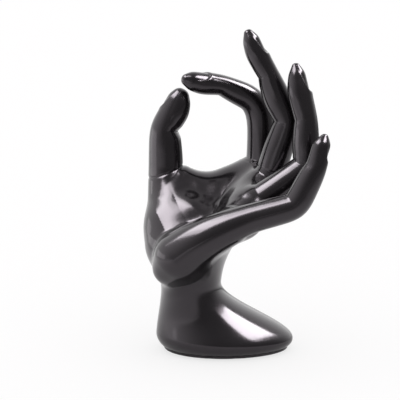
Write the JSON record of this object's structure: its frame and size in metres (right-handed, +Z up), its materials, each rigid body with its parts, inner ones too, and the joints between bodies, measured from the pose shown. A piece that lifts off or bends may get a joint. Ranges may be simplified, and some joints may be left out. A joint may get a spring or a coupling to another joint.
{
  "type": "ring display hand",
  "caption": "Free-standing gloss black hand on a flared foot, thumb and index finger nearly closing an O, fingers curled upward to hold finger rings for display.",
  "frame": {"origin": "on the floor, under the middle of the foot, on the underside of the felt pad", "axes": "+X towards the backs of the fingers and the toe of the foot, +Y towards the index finger's side, +Z up"},
  "size_m": [0.0911, 0.0653, 0.1621],
  "materials": {
    "lacquer": "high gloss",
    "iron": "as cast",
    "plate": "matt",
    "felt": "felted"
  },
  "bodies": {
    "root": {"hand_body": "lacquer", "thumb": "lacquer", "index_finger": "lacquer", "middle_finger": "lacquer", "ring_finger": "lacquer", "little_finger": "lacquer", "ballast_slug": "iron", "base_plate": "plate", "felt_pad": "felt"}
  },
  "joints": []
}
